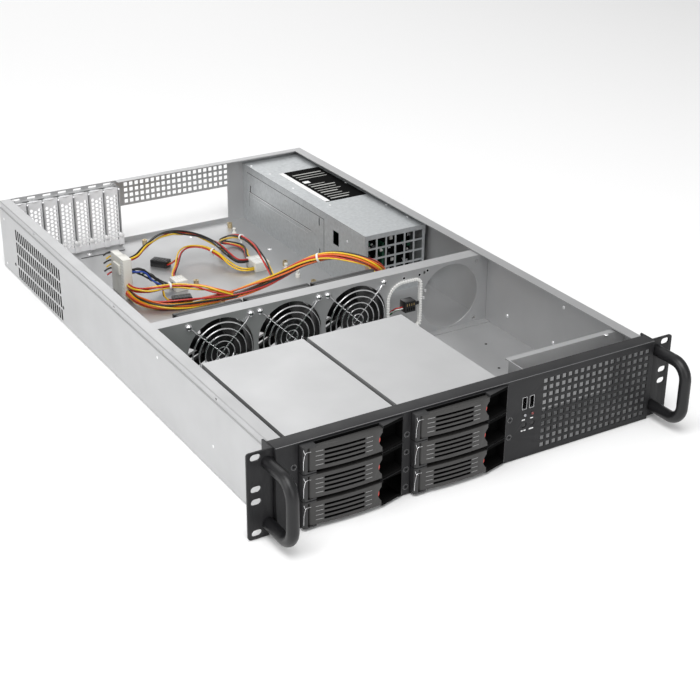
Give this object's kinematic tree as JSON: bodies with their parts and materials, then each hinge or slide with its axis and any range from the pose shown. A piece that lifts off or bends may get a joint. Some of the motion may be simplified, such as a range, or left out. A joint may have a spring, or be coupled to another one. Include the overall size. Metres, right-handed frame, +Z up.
{
  "type": "barebone server",
  "caption": "Two-unit rack server chassis without its top cover: drive trays with levers, grille, handles, fan wall, power supply with looms, card covers and vents.",
  "frame": {"origin": "underside of the chassis floor, middle of the body in width and depth, with the handles and trays standing forward of it", "axes": "+X to the right seen from the front, +Y from the front panel to the rear, +Z up"},
  "size_m": [0.4826, 0.7669, 0.088],
  "materials": {
    "zinc_sheet": "matt zinc plated sheet steel",
    "supply_sheet": "matt zinc plated sheet steel, a little darker",
    "black_paint": "fine textured black powder coat",
    "handle_black": "smooth satin black",
    "screw_steel": "plated",
    "standoff_brass": "plain",
    "board_green": "green circuit board",
    "tray_plastic": "moulded dark grey",
    "lever_plastic": "moulded grey, fine grain",
    "release_red": "red",
    "port_steel": "plated",
    "light_pipe": "clear and red",
    "black_plastic": "moulded black",
    "guard_wire": "bright plated wire",
    "white_nylon": "white",
    "natural_nylon": "natural, slightly translucent",
    "wire_bundle": "insulated wires, yellow, red and black",
    "wire_black": "insulated wires, mostly black"
  },
  "bodies": {
    "chassis": {"base_tray": "zinc_sheet", "rear_panel": "zinc_sheet", "fan_wall": "zinc_sheet", "front_bracket": "zinc_sheet", "drive_cages": "zinc_sheet", "slot_covers": "zinc_sheet", "slot_clamp": "zinc_sheet", "psu_case": "supply_sheet", "psu_cover": "supply_sheet", "front_panel": "black_paint", "rack_ears": "black_paint", "handle_left": "handle_black", "handle_right": "handle_black", "machine_screws": "screw_steel", "standoffs": "standoff_brass", "backplanes": "board_green", "control_board": "board_green", "psu_board": "board_green", "usb_ports": "port_steel", "indicator_lights": "light_pipe", "fan_frames": "black_plastic", "plug_fan": "black_plastic", "psu_inlet": "black_plastic", "fan_guards": "guard_wire", "edge_trim": "white_nylon", "cable_ties": "white_nylon", "plug_main": "natural_nylon", "plug_square": "natural_nylon", "plug_eight": "natural_nylon", "loom_main": "wire_bundle", "loom_arc": "wire_bundle", "loom_right": "wire_bundle", "loom_loop": "wire_bundle", "loom_front": "wire_bundle", "loom_black": "wire_black", "fan_lead": "wire_black"},
    "tray_1": {"tray_1": "tray_plastic"},
    "lever_1": {"lever_1": "lever_plastic"},
    "release_1": {"release_1": "release_red"},
    "tray_2": {"tray_2": "tray_plastic"},
    "lever_2": {"lever_2": "lever_plastic"},
    "release_2": {"release_2": "release_red"},
    "tray_3": {"tray_3": "tray_plastic"},
    "lever_3": {"lever_3": "lever_plastic"},
    "release_3": {"release_3": "release_red"},
    "tray_4": {"tray_4": "tray_plastic"},
    "lever_4": {"lever_4": "lever_plastic"},
    "release_4": {"release_4": "release_red"},
    "tray_5": {"tray_5": "tray_plastic"},
    "lever_5": {"lever_5": "lever_plastic"},
    "release_5": {"release_5": "release_red"},
    "tray_6": {"tray_6": "tray_plastic"},
    "lever_6": {"lever_6": "lever_plastic"},
    "release_6": {"release_6": "release_red"},
    "fan_rotor_1": {"fan_rotor_1": "black_plastic"},
    "fan_rotor_2": {"fan_rotor_2": "black_plastic"},
    "fan_rotor_3": {"fan_rotor_3": "black_plastic"},
    "psu_fan_rotor": {"psu_fan_rotor": "black_plastic"},
    "button_left": {"button_left": "black_plastic"},
    "button_right": {"button_right": "black_plastic"}
  },
  "joints": [
    {"name": "tray_1_slide", "type": "slide", "parent": "chassis", "child": "tray_1", "axis": [0, -1, 0], "range_m": [0, 0.14]},
    {"name": "lever_1_hinge", "type": "hinge", "parent": "tray_1", "child": "lever_1", "pos_m": [-0.1826, -0.365, 0.072], "axis": [0, 0, -1], "range_deg": [0, 50]},
    {"name": "release_1_slide", "type": "slide", "parent": "lever_1", "child": "release_1", "axis": [-1, 0, 0], "range_m": [0, 0.0015], "stiffness_N_per_m": 300},
    {"name": "tray_2_slide", "type": "slide", "parent": "chassis", "child": "tray_2", "axis": [0, -1, 0], "range_m": [0, 0.14]},
    {"name": "lever_2_hinge", "type": "hinge", "parent": "tray_2", "child": "lever_2", "pos_m": [-0.1826, -0.365, 0.044], "axis": [0, 0, -1], "range_deg": [0, 50]},
    {"name": "release_2_slide", "type": "slide", "parent": "lever_2", "child": "release_2", "axis": [-1, 0, 0], "range_m": [0, 0.0015], "stiffness_N_per_m": 300},
    {"name": "tray_3_slide", "type": "slide", "parent": "chassis", "child": "tray_3", "axis": [0, -1, 0], "range_m": [0, 0.14]},
    {"name": "lever_3_hinge", "type": "hinge", "parent": "tray_3", "child": "lever_3", "pos_m": [-0.1826, -0.365, 0.016], "axis": [0, 0, -1], "range_deg": [0, 50]},
    {"name": "release_3_slide", "type": "slide", "parent": "lever_3", "child": "release_3", "axis": [-1, 0, 0], "range_m": [0, 0.0015], "stiffness_N_per_m": 300},
    {"name": "tray_4_slide", "type": "slide", "parent": "chassis", "child": "tray_4", "axis": [0, -1, 0], "range_m": [0, 0.14]},
    {"name": "lever_4_hinge", "type": "hinge", "parent": "tray_4", "child": "lever_4", "pos_m": [-0.0653, -0.365, 0.072], "axis": [0, 0, -1], "range_deg": [0, 50]},
    {"name": "release_4_slide", "type": "slide", "parent": "lever_4", "child": "release_4", "axis": [-1, 0, 0], "range_m": [0, 0.0015], "stiffness_N_per_m": 300},
    {"name": "tray_5_slide", "type": "slide", "parent": "chassis", "child": "tray_5", "axis": [0, -1, 0], "range_m": [0, 0.14]},
    {"name": "lever_5_hinge", "type": "hinge", "parent": "tray_5", "child": "lever_5", "pos_m": [-0.0653, -0.365, 0.044], "axis": [0, 0, -1], "range_deg": [0, 50]},
    {"name": "release_5_slide", "type": "slide", "parent": "lever_5", "child": "release_5", "axis": [-1, 0, 0], "range_m": [0, 0.0015], "stiffness_N_per_m": 300},
    {"name": "tray_6_slide", "type": "slide", "parent": "chassis", "child": "tray_6", "axis": [0, -1, 0], "range_m": [0, 0.14]},
    {"name": "lever_6_hinge", "type": "hinge", "parent": "tray_6", "child": "lever_6", "pos_m": [-0.0653, -0.365, 0.016], "axis": [0, 0, -1], "range_deg": [0, 50]},
    {"name": "release_6_slide", "type": "slide", "parent": "lever_6", "child": "release_6", "axis": [-1, 0, 0], "range_m": [0, 0.0015], "stiffness_N_per_m": 300},
    {"name": "fan_rotor_1_spin", "type": "hinge", "parent": "chassis", "child": "fan_rotor_1", "pos_m": [-0.1285, -0.067, 0.0427], "axis": [0, 1, 0], "continuous": true},
    {"name": "fan_rotor_2_spin", "type": "hinge", "parent": "chassis", "child": "fan_rotor_2", "pos_m": [-0.046, -0.067, 0.0427], "axis": [0, 1, 0], "continuous": true},
    {"name": "fan_rotor_3_spin", "type": "hinge", "parent": "chassis", "child": "fan_rotor_3", "pos_m": [0.0365, -0.067, 0.0427], "axis": [0, 1, 0], "continuous": true},
    {"name": "psu_fan_rotor_spin", "type": "hinge", "parent": "chassis", "child": "psu_fan_rotor", "pos_m": [0.176, 0.345, 0.034], "axis": [0, 1, 0], "continuous": true},
    {"name": "button_left_press", "type": "slide", "parent": "chassis", "child": "button_left", "axis": [0, 1, 0], "range_m": [0, 0.0015], "stiffness_N_per_m": 400},
    {"name": "button_right_press", "type": "slide", "parent": "chassis", "child": "button_right", "axis": [0, 1, 0], "range_m": [0, 0.0015], "stiffness_N_per_m": 400}
  ]
}
